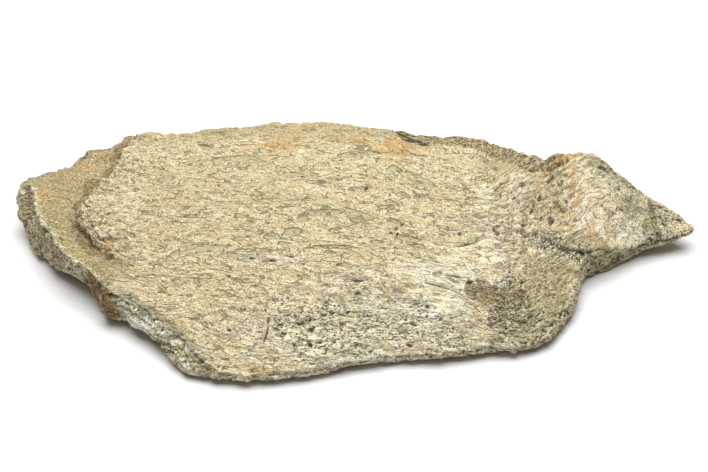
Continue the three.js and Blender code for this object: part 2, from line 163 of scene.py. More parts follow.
# soft patches of each tint on the plan: x, y, x radius, y radius, strength
TINTS = {
    "ochre": [
        (-30, 47, 60, 7, 0.6), (-60, -5, 16, 8, 0.35), (-52, 14, 40, 18, 0.2), (66, 20, 6, 13, 0.7),
        (58, 36, 12, 4, 0.5),
    ],
    "iron": [
        (-21, 49, 5, 3, 0.8), (-28, 34, 9, 3, 0.4), (6, 37, 13, 3, 0.5), (15, 32, 7, 4, 0.5),
        (-89, 43, 8, 4, 0.7), (-97, 34, 12, 8, 0.6), (-31, -54, 6, 3, 0.9), (-90, 26, 7, 12, 0.5),
        (70, 33, 7, 2, 0.9), (76, 33, 5, 2, 0.8), (75.5, 20, 3, 13, 0.8), (63, 27, 4, 4, 0.7),
        (83, 18, 7, 6, 0.6), (84, 7, 9, 6, 0.6), (71, 12, 5, 10, 0.5), (45, 47, 5, 2, 0.8),
        (2, 41, 7, 2.5, 1), (16, 41, 8, 5, 1), (22, 38, 5, 3, 0.7), (-28, 38, 11, 2.5, 1),
        (10, 35, 10, 2, 1), (-12, 44, 20, 3, 0.6), (-43, -36, 3, 2, 0.7), (-104, 22, 8, 10, 0.5),
        (-83, -6, 6, 5, 0.6), (-100, 10, 8, 8, 0.4),
    ],
    "white": [
        (33, -20, 20, 10, 0.55), (15, -32, 26, 8, 0.4), (-5, -22, 18, 6, 0.3), (45, 12, 8, 16, 0.4),
        (44, -8, 12, 6, 0.5), (33, -28, 9, 6, 0.9), (30, -16, 10, 4, 0.7), (48, -18, 6, 2.5, 0.8),
        (-78, 12, 8, 22, 0.3), (82, 16, 9, 17, 1), (90, 8, 10, 8, 1), (28, 28, 10, 10, 0.3),
        (-10, -45, 40, 9, 0.35), (57, 24, 5, 9, 0.4),
    ],
    "brown": [
        (45, -24, 8, 5, 1), (53, -24, 8, 4, 1), (52, -33, 8, 4, 0.5), (20, 47, 6, 4, 1),
        (71, 35, 7, 2, 0.6), (59, -34, 6, 4, 0.4), (20, -41, 12, 4, 0.2), (26, 45, 5, 3, 0.8),
        (66, 0, 6, 4, 0.4),
    ],
    "olive": [
        (64, -22, 13, 18, 0.9), (56, -32, 12, 12, 0.8), (80, -1, 14, 6, 0.6), (102.5, 15, 2.5, 8, 0.9),
        (110, 15, 8, 8, 0.2), (87, 30, 7, 3, 0.8), (97, 26, 8, 3, 0.8),
    ],
    "grey": [
        (36, 48, 16, 4, 0.9), (57, 42, 12, 4, 0.8), (40, 5, 9, 4, 0.5), (95, 19, 6, 4, 0.7),
        (-95, 46, 22, 2, 0.5), (-30, -12, 22, 3, 0.4), (22, 24, 8, 5, 0.4), (68, 1, 8, 4, 0.9),
    ],
    "speckle": [
        (66, 1, 7, 4, 1), (73, -3, 7, 3, 1), (55, -30, 13, 10, 0.4), (104, 11, 10, 3, 0.4),
        (92, 28, 9, 3, 0.5), (52, -14, 5, 6, 0.3), (66, -12, 8, 8, 0.2), (109, 20, 8, 3, 0.4),
        (22, 44, 4, 3, 1),
    ],
    "porous": [
        (-12, -38, 30, 12, 1), (20, -36, 26, 9, 1), (52, -28, 14, 14, 1), (2, -24, 16, 7, 0.7),
        (-28, -14, 14, 3, 0.5), (58, 8, 10, 20, 0.7), (30, -18, 18, 5, 0.4), (69, 20, 7, 14, 0.6),
        (96, 20, 10, 8, 0.4), (110, 16, 9, 7, 0.5),
    ],
}
# the same for the broken front and left faces: x, half length, strength
FACE_TINTS = {
    "olive": [(-104, 17, 0.8), (-93, 8, 0.5), (-48, 8, 0.6), (66, 9, 0.3), (112, 8, 0.15)],
    "lump": [(-84, 6, 1)],
    "streak": [(-64, 17, 1)],
}


def smooth(low, high, value):
    """A soft step from 0 at low to 1 at high."""
    t = np.clip((value - low) / (high - low), 0, 1)
    return t * t * (3 - 2 * t)


def band(value, start, full, fade, end):
    """1 between full and fade, falling softly to 0 at start and end."""
    return smooth(start, full, value) * smooth(end, fade, value)


# ---- mesh
def rows(items, name, width, kind):
    """One value of every item, as the rows of an array."""
    values = np.empty(len(items) * width, kind)
    items.foreach_get(name, values)
    return values.reshape(-1, width)


class Surface:
    """The mesh as arrays, in millimetres."""

    def __init__(self, mesh):
        self.place = rows(mesh.vertices, "co", 3, float) / MM
        self.edges = rows(mesh.edges, "vertices", 2, int)
        self.triangles = rows(mesh.loop_triangles, "vertices", 3, int)
        self.valence = np.bincount(self.edges.ravel(), minlength=len(self.place))

    def neighbour_mean(self, values):
        a, b = self.edges.T
        total = np.bincount(a, values[b], len(values)) + np.bincount(b, values[a], len(values))
        return total / np.maximum(self.valence, 1)

    def blur(self, values, rounds):
        for _ in range(rounds):
            values = 0.5 * values + 0.5 * self.neighbour_mean(values)
        return values

    def relax(self, rounds, freedom):
        """Evens out facets; freedom is 0 where an edge has to stay crisp."""
        for _ in range(rounds):
            for axis in range(3):
                values = self.place[:, axis]
                values += 0.5 * freedom * (self.neighbour_mean(values) - values)

    def normals(self):
        a, b, c = (self.place[self.triangles[:, k]] for k in range(3))
        face = np.cross(b - a, c - a)
        total = np.zeros_like(self.place)
        for axis in range(3):
            for corner in range(3):
                total[:, axis] += np.bincount(
                    self.triangles[:, corner], face[:, axis], len(self.place))
        length = np.linalg.norm(total, axis=1, keepdims=True)
        return total / np.maximum(length, 1e-9)


# ---- noise
NEIGHBOURS = [np.array((i, j, k)) for i in (-1, 0, 1) for j in (-1, 0, 1) for k in (-1, 0, 1)]


class Noise:
    """Gradient noise in three dimensions, about -1 to 1."""

    def __init__(self, seed):
        random = np.random.default_rng(seed)
        self.order = np.tile(random.permutation(256), 3)
        slopes = random.normal(size=(256, 3))
        self.slopes = slopes / np.linalg.norm(slopes, axis=1, keepdims=True)
        self.centres = random.uniform(0.1, 0.9, size=(256, 3))

    def key(self, cell):
        return self.order[self.order[self.order[cell[:, 0]] + cell[:, 1]] + cell[:, 2]]

    def __call__(self, points):
        cell = np.floor(points).astype(int)
        part = points - cell
        fade = part ** 3 * (part * (part * 6 - 15) + 10)
        cell &= 255
        total = np.zeros(len(points))
        for corner in range(8):
            step = np.array([corner & 1, corner >> 1 & 1, corner >> 2 & 1])
            weight = np.prod(np.where(step == 1, fade, 1 - fade), axis=1)
            slope = self.slopes[self.key(cell + step)]
            total += weight * np.einsum("ij,ij->i", slope, part - step)
        return total * 1.6

    def layered(self, points, octaves, gain=0.5):
        total = np.zeros(len(points))
        scale, weight = 1.0, 1.0
        for _ in range(octaves):
            total += weight * self(points * scale + 17.3 * scale)
            scale *= 2.03
            weight *= gain
        return total

    def around(self, points):
        """The key of each of the 27 cells round a point, and the offset from its centre."""
        cell = np.floor(points).astype(int)
        part = points - cell
        for step in NEIGHBOURS:
            key = self.key((cell + step) & 255)
            yield key, part - self.centres[key] - step

    def lumps(self, points):
        """Rounded lumps: 1 at a lump's middle, about 0 at a crease."""
        nearest = 9
        for _, offset in self.around(points):
            nearest = np.minimum(nearest, (offset ** 2).sum(1))
        return 1 - np.sqrt(nearest)

    def facets(self, points):
        """Flat facets, each with its own tilt and height, about -1 to 1."""
        nearest, height = 9, 0
        for key, offset in self.around(points):
            far = (offset ** 2).sum(1)
            tilted = (offset * self.slopes[key]).sum(1) + self.slopes[key, 0]
            height = np.where(far < nearest, tilted, height)
            nearest = np.minimum(nearest, far)
        return height


# ---- maps over the plan, in cells of 1 mm
GRID_LOW = np.array([-126, -66])
GRID_SIZE = (252, 132)


def read_grid(grid, points):
    """Values of a plan grid at [x, y] points, between its cells."""
    at = np.clip(points - GRID_LOW, 0, np.array(GRID_SIZE) - 1.001)
    cell = at.astype(int)
    part = at - cell
    i, j = cell.T
    fx, fy = part.T
    return (grid[i, j] * (1 - fx) * (1 - fy) + grid[i + 1, j] * fx * (1 - fy)
            + grid[i, j + 1] * (1 - fx) * fy + grid[i + 1, j + 1] * fx * fy)


def flow_direction(points):
    """Unit fibre direction at [x, y] points, blended from the nearest samples."""
    total = np.zeros((len(points), 2))
    for x, y, degrees in FLOW:
        near = (points[:, 0] - x) ** 2 + 1.6 * (points[:, 1] - y) ** 2
        weight = 1 / (near + 12) ** 2
        turn = math.radians(degrees)
        total += weight[:, None] * np.array([math.cos(turn), math.sin(turn)])
    return total / np.linalg.norm(total, axis=1, keepdims=True)


def follow(slope_x, slope_y):
    """A grid of heights whose slopes come as near as they can to those given."""
    across_x = 0.5 * (slope_x[1:] + slope_x[:-1])
    across_y = 0.5 * (slope_y[:, 1:] + slope_y[:, :-1])
    spread = np.zeros(GRID_SIZE)
    spread[:-1] += across_x
    spread[1:] -= across_x
    spread[:, :-1] += across_y
    spread[:, 1:] -= across_y
    mirrored = np.block([[spread, spread[:, ::-1]], [spread[::-1], spread[::-1, ::-1]]])
    wave_x = 2 * np.cos(2 * np.pi * np.fft.fftfreq(2 * GRID_SIZE[0])) - 2
    wave_y = 2 * np.cos(2 * np.pi * np.fft.fftfreq(2 * GRID_SIZE[1])) - 2
    waves = wave_x[:, None] + wave_y[None, :]
    waves[0, 0] = 1
    spectrum = np.fft.fft2(mirrored) / waves
    spectrum[0, 0] = 0
    return np.real(np.fft.ifft2(spectrum))[:GRID_SIZE[0], :GRID_SIZE[1]]


def fibre_coordinates(plan):
    """Millimetres along and across the fibres at [x, y] points."""
    cells = np.indices(GRID_SIZE).reshape(2, -1).T + GRID_LOW
    heading = flow_direction(cells).reshape(*GRID_SIZE, 2)
    along = follow(heading[..., 0], heading[..., 1])
    across = follow(-heading[..., 1], heading[..., 0])
    return read_grid(along, plan), read_grid(across, plan)


def from_line(line, points):
    """Distance to an [x, y] line, positive on its left, and place along it, 0 to 1."""
    best = np.full(len(points), 1e9)
    side = np.ones(len(points))
    place = np.zeros(len(points))
    for k in range(len(line) - 1):
        start, end = np.array(line[k], float), np.array(line[k + 1], float)
        along = end - start
        offset = points - start
        t = np.clip(offset @ along / (along @ along), 0, 1)
        distance = np.linalg.norm(offset - t[:, None] * along, axis=1)
        closer = distance < best
        best[closer] = distance[closer]
        turn = along[0] * offset[:, 1] - along[1] * offset[:, 0]
        side[closer] = np.where(turn[closer] >= 0, 1, -1)
        place[closer] = ((k + t) / (len(line) - 1))[closer]
    return best * side, place


# ---- stamps
class Chart:
    CELL = 3

    def __init__(self, members, flat):
        self.members = members
        self.flat = flat[members]
        self.low = self.flat.min(0) - 0.1
        cells = ((self.flat - self.low) / self.CELL).astype(int)
        self.wide = cells.max(0) + 1
        keys = cells[:, 0] * self.wide[1] + cells[:, 1]
        self.sorted = np.argsort(keys, kind="stable")
        self.starts = np.searchsorted(keys[self.sorted], np.arange(self.wide.prod() + 1))

    def near(self, x, y, reach):
        ends = np.array([[x - reach, y - reach], [x + reach, y + reach]])
        cells = ((ends - self.low) / self.CELL).astype(int)
        first, last = np.clip(cells, 0, self.wide - 1)
        found = []
        for i in range(first[0], last[0] + 1):
            row = i * self.wide[1]
            found.append(self.sorted[self.starts[row + first[1]]:self.starts[row + last[1] + 1]])
        return np.concatenate(found)


class Marks:
    """Depths and edge distances that the stamps leave on the vertices."""

    def __init__(self, ragged):
        self.ragged = ragged
        self.sunk = np.zeros(len(ragged))
        self.mud = np.full(len(ragged), -3.0)
        self.pore = np.full(len(ragged), -3.0)

    def press(self, layer, fray, wall, chart, mark, depth, wobble):
        """Sinks a leaf-shaped mark whose wall lies between two distances inside its edge."""
        x, y, length, width, degrees = mark
        local = chart.near(x, y, length + 1.5)
        turn = math.radians(degrees)
        cosine, sine = math.cos(turn), math.sin(turn)
        east, north = (chart.flat[local] - (x, y)).T
        along = east * cosine + north * sine
        bend = 0.25 * width * np.sin(2.4 * along / length + wobble)
        across = north * cosine - east * sine - bend
        leaf = (np.abs(along / length) ** 1.6 + np.abs(across / width) ** 1.6) ** 0.625
        index = chart.members[local]
        inside = (1 - leaf) * min(width, length) + fray * self.ragged[index]
        layer[index] = np.maximum(layer[index], inside)
        self.sunk[index] = np.maximum(self.sunk[index], depth * smooth(*wall, inside))

    def channel(self, chart, mark, depth, wobble):
        self.press(self.mud, 0.22, (-0.1, 0.35), chart, mark, depth, wobble)

    def hole(self, chart, mark, depth, wobble):
        wall = (-0.25, 0.5 * min(mark[2], mark[3]) + 0.2)
        self.press(self.pore, 0.12, wall, chart, mark, depth, wobble)


# ---- bone
def placed(name, data):
    """A new object in the scene."""
    item = bpy.data.objects.new(name, data)
    bpy.context.collection.objects.link(item)
    return item


def with_modifiers(item):
    """The item's mesh after its modifiers."""
    shape = item.evaluated_get(bpy.context.evaluated_depsgraph_get())
    return bpy.data.meshes.new_from_object(shape)


def even_copy(node, name):
    """The CAD solid as a new object with small even faces."""
    mesh = node.data.copy()
    work = bmesh.new()
    work.from_mesh(mesh)
    bmesh.ops.remove_doubles(work, verts=work.verts, dist=WELD)
    work.to_mesh(mesh)
    work.free()
    mesh.materials.clear()
    source = placed(name + "_source", mesh)
    remesh = source.modifiers.new("even", "REMESH")
    remesh.mode = "VOXEL"
    remesh.voxel_size = VOXEL * MM
    piece = placed(name, with_modifiers(source))
    bpy.data.objects.remove(source)
    return piece


def tint_weight(name, slab):
    """Strength of one tint over the plan, with ragged soft edges."""
    total = np.zeros(len(slab.x))
    for x, y, rx, ry, strength in TINTS[name]:
        far = np.hypot((slab.x - x) / rx, (slab.y - y) / ry)
        total = np.maximum(total, strength * smooth(1.35, 0.45, far + 0.45 * slab.warp))
    return total


def face_tint(name, slab):
    """Strength of one tint of the broken faces."""
    total = np.zeros(len(slab.x))
    for middle, half, strength in FACE_TINTS[name]:
        far = np.abs(slab.x - middle) / half
        total = np.maximum(total, strength * smooth(1.3, 0.7, far + 0.4 * slab.warp))
    return total * slab.face


def scatter(stamp, chart, density, angle, random, kind):
    """Small marks of one kind, picked by density and at least about a gap apart."""
    count, gap, lengths, widths, spread, depths = kind
    weight = density[chart.members]
    weight = weight / weight.sum()
    taken = set()
    for pick in random.choice(len(weight), size=count * 2, replace=False, p=weight):
        x, y = chart.flat[pick]
        place = (x // gap, y // gap)
        if place in taken:
            continue
        taken.add(place)
        half = random.uniform(*lengths)
        width = half * random.uniform(*widths)
        turn = angle[pick] + random.normal(0, spread)
        stamp(chart, (x, y, half, width, turn), random.uniform(*depths), random.uniform(0, 6))
        if len(taken) == count:
            break


def store(mesh, name, *columns):
    """Writes up to three numbers per vertex as a named vector."""
    values = np.zeros((len(columns[0]), 3), dtype=np.float32)
    values[:, :len(columns)] = np.stack(columns, axis=1)
    layer = mesh.attributes.new(name, "FLOAT_VECTOR", "POINT")
    layer.data.foreach_set("vector", values.ravel())


class Slab:
    """The bone's surface, with the noises, sides and fibres that the carving uses.

    Height gathers how far each vertex will move along its normal.
    """

    def __init__(self, mesh):
        mesh.calc_loop_triangles()
        self.mesh = mesh
        self.surface = Surface(mesh)
        self.random = np.random.default_rng(SEED)
        self.broad = Noise(SEED + 1)
        self.fine = Noise(SEED + 2)

        inward, _ = from_line(RIM_LINE, self.surface.place[:, :2])
        self.surface.relax(12, smooth(0.2, 2.2, np.abs(inward)) * 0.85 + 0.15)
        self.place = self.surface.place
        self.normal = self.surface.normals()
        self.plan = self.place[:, :2].copy()
        self.x, self.y, self.z = self.place.copy().T
        self.height = np.zeros(len(self.x))

        self.make_noises()
        self.find_sides()
        self.follow_fibres()
        self.find_step()
        self.find_strips()

    def make_noises(self):
        place = self.place
        self.warp = self.broad.layered(place / 9, 3)
        self.ragged = self.fine.layered(place / 1.6, 2)
        self.crumb = self.fine.layered(place / 3.2, 3)
        small_lumps = self.broad.lumps(place / 1.5)
        self.nodules = self.fine.lumps(place / 3.4) * 0.6 + small_lumps * 0.4
        self.knuckles = self.fine.lumps(place / (4.2, 2.4, 4))
        self.flakes = self.fine.facets((place + 0.5 * self.ragged[:, None]) / 2.2)

    def find_sides(self):
        """Weights of the upper face, the broken faces and the underside."""
        self.up = smooth(0.15, 0.5, self.normal[:, 2] + 0.08 * self.ragged)
        self.under = smooth(-0.35, -0.75, self.normal[:, 2])
        self.inward, _ = from_line(RIM_LINE, self.plan)
        outward, _ = from_line(BACK_LINE, self.plan)
        self.from_back = -outward
        self.rim = self.inward + 0.5 * self.ragged
        beyond_rim = smooth(0.5, -0.3, self.rim) * (1 - self.under)
        self.face = np.maximum(beyond_rim, (1 - self.up) * (1 - self.under))
        self.top = (1 - self.face) * (1 - self.under)

    def follow_fibres(self):
        """Coordinates and noises that run with the fibres."""
        self.along, self.across = fibre_coordinates(self.plan)
        drift = self.broad.layered(self.place / 5, 2)
        self.across_drift = self.across + 0.7 * drift
        self.sheet = self.strands(11, 2.8, 3, self.broad)
        self.fibre = self.strands(6, 1.25, 2, self.fine)
        self.strata = self.broad.layered(
            np.stack([self.along / 8, self.across / 5, self.z / 1.1], axis=1), 3)

    def strands(self, length, width, octaves, noise):
        at = [self.along / length, self.across_drift / width, self.z / width]
        return noise.layered(np.stack(at, axis=1), octaves, 0.55)

    def find_step(self):
        """The broken step, the ledge below it and the crumbly strip above."""
        self.edge, part = from_line(STEP_LINE, self.plan)
        self.strength = np.interp(part, np.linspace(0, 1, len(STEP_STRENGTH)), STEP_STRENGTH)
        self.near_step = smooth(-58, -66, self.x) * self.up * self.strength
        self.ragged_edge = self.edge + 1.5 * self.crumb + 0.6 * self.warp
        for middle, shift in STEP_BAYS:
            self.ragged_edge += shift * np.exp(-((self.y - middle) / 5) ** 2)

        stepped = np.zeros(len(self.x))
        for start, share in STEP_TREADS:
            stepped += share * smooth(start, start + 0.9, self.ragged_edge)
        sloped = smooth(-1.2, 4.2, self.edge)
        self.step_change = STEP_HEIGHT * (stepped - sloped) * self.near_step

        foot_end = self.x - 0.6 * (self.y + 12) + 5 * self.warp
        self.ledge = smooth(0.8, -0.6, self.ragged_edge) * smooth(-68, -80, foot_end) \
            * (self.strength > 0.05) * self.top
        self.crumbly = smooth(18, 3, self.edge + 3 * self.warp) \
            * smooth(-1.5, 0.3, self.ragged_edge) * self.near_step

    def find_strips(self):
        """Narrow strips that have both a colour and a relief of their own."""
        self.fringe = smooth(3.4, 2.2, self.from_back + 1.4 * self.crumb) * smooth(-78, -84, self.x)
        self.back_strip = smooth(8.5, 4, self.from_back + 2.5 * self.warp) \
            * band(self.x, 16, 24, 64, 74)
        lip, _ = from_line(LIP_LINE, self.plan)
        self.over_lip = lip + 0.35 * self.crumb
        self.lip_room = band(self.x, 62, 72, 105, 110)


def slab_tints(slab):
    """Weights of the colours of the upper face, and plain patches below."""
    tints = {name: tint_weight(name, slab) for name in TINTS}
    for name in ("porous", "speckle", "white"):
        tints[name] = tints[name] * (1 - slab.ledge)

    # painted light: a paler strip along the front rim, making up for the shade on the front edge
    front_strip_painted_light = smooth(2.6, 0.8, slab.inward + 0.8 * slab.ragged) * band(slab.x, -44, -38, 42, 50)
    # painted shade: brown and olive darkening along the foot of the broken step
    foot_shade = smooth(-7, -1, slab.edge + 1.5 * slab.warp) * smooth(1.5, 0, slab.edge) \
        * smooth(-62, -72, slab.x) * slab.strength
    # painted shade: brown and olive darkening just under the knob's overhanging lip
    lip_shade = np.exp(-(slab.over_lip + 1) ** 2) * slab.lip_room
    strips = {
        "white": [0.25 * slab.crumbly, 0.5 * front_strip_painted_light],
        "grey": [0.3 * slab.crumbly, slab.back_strip, slab.fringe],
        "brown": [0.6 * lip_shade, slab.back_strip, 0.8 * foot_shade],
        "olive": [slab.back_strip, foot_shade, lip_shade],
        "speckle": [0.25 * slab.back_strip, 0.25 * slab.fringe],
    }
    for name, weights in strips.items():
        tints[name] = np.maximum.reduce([tints[name], *weights])

    for name in tints:
        tints[name] = tints[name] * (1 - slab.under)
    patches = smooth(-0.15, 0.35, slab.broad.layered(slab.place / 16, 2))
    tints["ochre"] = tints["ochre"] + 0.7 * slab.under * patches
    tints["porous"] = tints["porous"] + 0.6 * slab.under * (1 - patches)
    return tints


def slab_face_tints(slab):
    """Weights of the colours of the broken faces."""
    tints = {name: face_tint(name, slab) for name in FACE_TINTS}
    in_front = smooth(20, 5, slab.y)
    for name in ("streak", "lump"):
        tints[name] = tints[name] * in_front
    tints["olive"] = np.maximum(tints["olive"], 0.7 * slab.back_strip * slab.up)
    return tints


def shape_upper_face(slab, tints):
    """Broad and fibrous relief, and the crumbly strips."""
    up, crumb, sheet = slab.up, slab.crumb, slab.sheet
    bumpy = slab.nodules - 0.45
    calm = 1 - 0.7 * slab.ledge
    knob = smooth(60, 70, slab.x)
    slab.height += 0.22 * slab.warp * calm
    worn_away = 0.3 * smooth(-0.55, -0.68, sheet)
    left_standing = 0.22 * smooth(0.55, 0.66, sheet)
    slab.height += calm * up * (left_standing - worn_away)
    slab.height += (0.16 * slab.fibre + 0.12 * slab.ragged) * up * calm
    slab.height += 0.25 * crumb * up * calm * (0.3 + tints["porous"] + knob)

    wrinkle_place = np.stack([slab.edge / 1.9 + slab.warp, slab.y / 7, crumb], axis=1)
    wrinkles = 0.25 - np.abs(slab.broad(wrinkle_place))
    slab.height += (0.3 * bumpy + 0.7 * slab.flakes - 1.2 * wrinkles) * slab.crumbly
    slab.height += 0.7 * bumpy * slab.back_strip * up
    slab.height -= slab.fringe * (0.3 + 0.9 * smooth(0, 0.3, crumb)) * up
    slab.height -= 0.7 * np.exp(-((slab.ragged_edge + 1) / 0.9) ** 2) * slab.near_step
    slab.height += 0.7 * bumpy * tints["porous"] * up


def shape_knob(slab):
    """The knob's groove, flank, lip and creases."""
    up = slab.up
    bumpy = slab.nodules - 0.45
    groove = band(slab.x, 45, 49, 58, 64) * band(slab.y, -10, -2, 24, 34)
    slab.height += (2.6 * (slab.knuckles - 0.5) + 0.5 * bumpy) * groove * up
    flank = band(slab.x, 58, 63, 73, 77) * smooth(0, 6, slab.y)
    slab.height += (1.3 * bumpy + 1.4 * (slab.knuckles - 0.5)) * flank * up
    slab.height += 0.7 * slab.lip_room * up * band(slab.over_lip, -0.3, 0.3, 1, 4.5)
    slab.height -= 0.9 * slab.lip_room * band(slab.over_lip, -5, -1.5, -0.4, 0.2)
    for line, rise, width in KNOB_RIDGES:
        distance, _ = from_line(line, slab.plan)
        tent = np.clip(1 - np.abs(distance + 0.8 * slab.crumb) / width, 0, 1)
        slab.height += rise * tent * up


def shape_broken_faces(slab):
    """Layered, lumpy broken faces and the rough underside."""
    x, face, under, inward = slab.x, slab.face, slab.under, slab.inward
    chips = slab.broad.layered(slab.place / 4, 4, 0.6)
    rock = slab.fine.lumps(slab.place / 4.5)
    breaks = slab.broad.facets(slab.place / 6) + 0.45 * slab.fine.facets(slab.place / 2.6)
    slab.height += face * (0.3 * slab.strata + 0.4 * chips + 0.5 * (rock - 0.5) + 0.5 * breaks)

    bevelled = band(x, -90, -82, -56, -44)
    rim_height = np.interp(x, *zip(*RIM_HEIGHTS))
    bevel = smooth(-7, 0, slab.z - rim_height) * smooth(3, 0, inward) * bevelled
    slab.height -= 1.9 * bevel * (1 - under)

    tuck = smooth(0.2, -1.2, inward) * smooth(-2, 6, slab.z) * (1 - bevelled)
    overhang = band(x, 40, 50, 74, 80) * smooth(4, -4, slab.y)
    slab.height += face * (1.3 * overhang - 0.8) * tuck
    slab.height -= 1.6 * overhang * face * smooth(3.2, 0.8, slab.z)
    slab.height += under * (-0.35 * np.abs(chips) - 0.4 * smooth(0.6, 0.2, rock))

    to_edge = np.minimum(np.abs(inward), np.abs(slab.from_back))
    slab.height -= 1.1 * smooth(0.1, 0.9, chips) * smooth(3, 0.5, to_edge)


def stamp_upper_face(slab, marks, tints):
    """Listed channels and pores, then small ones scattered along the fibres."""
    upper = Chart(np.flatnonzero(slab.normal[:, 2] > 0.2), slab.plan)
    for k, mark in enumerate(CHANNELS):
        marks.channel(upper, mark, CHANNEL_DEPTH, k)
    for k, mark in enumerate(PORES):
        marks.hole(upper, mark, PORE_DEPTH, k)

    heading = flow_direction(upper.flat)
    angle = np.degrees(np.arctan2(heading[:, 1], heading[:, 0]))
    knob = smooth(60, 70, slab.x)
    density = (0.12 + tints["grey"] + tints["porous"]) * (1 - 0.95 * slab.ledge) * (1 - 0.7 * knob)
    scatter(marks.channel, upper, density, angle, slab.random, SMALL_CHANNELS)
    density = 0.05 + tints["porous"] ** 1.5 + 0.8 * tints["speckle"] + 0.1 * slab.crumbly
    density *= 1 - 0.97 * slab.ledge
    scatter(marks.hole, upper, density, angle, slab.random, SMALL_PORES)


def stamp_broken_faces(slab, marks):
    """Small holes scattered round the sides and over the underside."""
    around = np.degrees(np.arctan2(slab.y - 4, (slab.x + 5) * 0.5)) * 1.9
    sides = Chart(np.flatnonzero((slab.face > 0.5) & (slab.z > 0.6)),
                  np.stack([around, slab.z], axis=1))
    below = Chart(np.flatnonzero((slab.under > 0.5) & (slab.z > 0.25)), slab.plan)
    even, level = np.ones(len(slab.x)), np.zeros(len(slab.x))
    scatter(marks.hole, sides, even, level, slab.random, SIDE_HOLES)
    scatter(marks.hole, below, even, level, slab.random, UNDER_HOLES)


def store_weights(slab, marks, tints, face_tints):
    """Everything that the material reads from the mesh."""
    relief = slab.height + slab.step_change
    # painted shade and highlight: how far each vertex lies below (+) or above (-) its blurred
    # surroundings; the material darkens hollows and lightens ridges by it
    hollow = np.clip((slab.surface.blur(relief, 10) - relief) / 0.3, -1, 1)
    # painted highlight: a pale line along the upper rim of the left faces
    edge_light = smooth(1.7, 0.8, np.abs(slab.rim - 0.6 + 0.8 * slab.crumb)) \
        * smooth(-35, -50, slab.x) * (1 - slab.under)
    mesh = slab.mesh
    store(mesh, "fibre", slab.along, slab.across, slab.place[:, 2])
    store(mesh, "tint_a", np.maximum(tints["ochre"], slab.ledge), tints["white"], tints["iron"])
    store(mesh, "tint_b", tints["brown"], tints["olive"], tints["grey"])
    store(mesh, "tint_c", tints["speckle"], tints["porous"], slab.crumbly)
    store(mesh, "tint_d", face_tints["olive"], face_tints["lump"], face_tints["streak"])
    store(mesh, "marks", marks.mud, marks.pore, hollow)
    store(mesh, "grain", slab.fibre)
    store(mesh, "faces", slab.top, slab.face, edge_light)


def carve(piece):
    """Relief, pits, channels and the weights that colour them."""
    slab = Slab(piece.data)
    tints = slab_tints(slab)
    face_tints = slab_face_tints(slab)
    shape_upper_face(slab, tints)
    shape_knob(slab)
    shape_broken_faces(slab)
    marks = Marks(slab.ragged)
    stamp_upper_face(slab, marks, tints)
    stamp_broken_faces(slab, marks)

    slab.height -= marks.sunk
    slab.place += slab.normal * slab.height[:, None]
    slab.place[:, 2] = np.maximum(slab.place[:, 2] + slab.step_change, 0)
    piece.data.vertices.foreach_set("co", (slab.place * MM).ravel())
    store_weights(slab, marks, tints, face_tints)
    piece.data.update()


def thin_out(piece):
    """Fewer triangles where the surface is plain."""
    mesh = piece.data
    triangles = sum(len(face.vertices) - 2 for face in mesh.polygons)
    thin = piece.modifiers.new("thin", "DECIMATE")
    thin.ratio = min(1, TRIANGLE_LIMIT / triangles)
    thin.use_collapse_triangulate = True
    result = with_modifiers(piece)
    piece.modifiers.clear()
    piece.data = result
    bpy.data.meshes.remove(mesh)
    for vertex in result.vertices:
        vertex.co.z = max(vertex.co.z, 0)
    result.polygons.foreach_set("use_smooth", np.ones(len(result.polygons), bool))


# ---- material
class Value:
    """A node's result, ready to be added, multiplied or stepped."""

    def __init__(self, graph, socket):
        self.graph = graph
        self.socket = socket

    def __add__(self, other):
        return self.graph.math("ADD", self, other)

    def __sub__(self, other):
        return self.graph.math("SUBTRACT", self, other)

    def __rsub__(self, other):
        return self.graph.math("SUBTRACT", other, self)

    def __mul__(self, other):
        return self.graph.math("MULTIPLY", self, other)

    def clamped(self):
        """Keeps the sum or difference just made within 0 to 1."""
        self.socket.node.use_clamp = True
        return self

    def step(self, low, high, to_low=0, to_high=1):
        """A smooth step from low to high."""
        limits = {"From Min": low, "From Max": high, "To Min": to_low, "To Max": to_high}
        node = self.graph.node(
            "MapRange", {"Value": self, **limits}, interpolation_type="SMOOTHSTEP")
        return Value(self.graph, node.outputs["Result"])

    def line(self, level, inner, outer):
        """1 where the value is near a level, falling to 0."""
        distance = self.graph.math("ABSOLUTE", self - level, 0)
        return distance.step(inner, outer, 1, 0)


